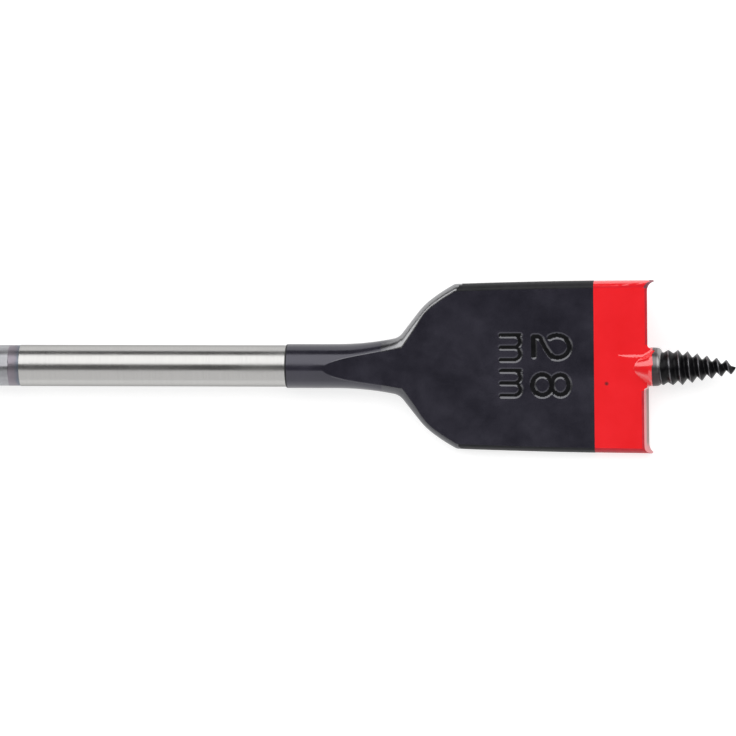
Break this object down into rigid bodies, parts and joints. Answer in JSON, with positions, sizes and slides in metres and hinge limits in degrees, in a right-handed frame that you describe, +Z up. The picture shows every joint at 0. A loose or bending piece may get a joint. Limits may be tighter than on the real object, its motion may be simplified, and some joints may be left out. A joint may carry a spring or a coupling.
{
  "type": "spade drill bit",
  "caption": "Spade drill bit: hexagonal shank, round ground shank, flat blade with spurs and relief-ground cutting edges, and a tapered lead screw, for boring wide holes in wood.",
  "frame": {"origin": "middle of the shank's flat rear face, on the drill axis", "axes": "+X along the drill axis from the shank to the screw point; +Z up as the bit lies on its neck and one edge of its blade"},
  "size_m": [0.152, 0.0276, 0.007],
  "materials": {
    "spade_bit": "ground bright shank, with the blade coated black and its cutting end painted red",
    "black_coating": "satin",
    "red_paint": "gloss"
  },
  "bodies": {
    "root": {"spade_bit": "spade_bit"}
  },
  "joints": []
}
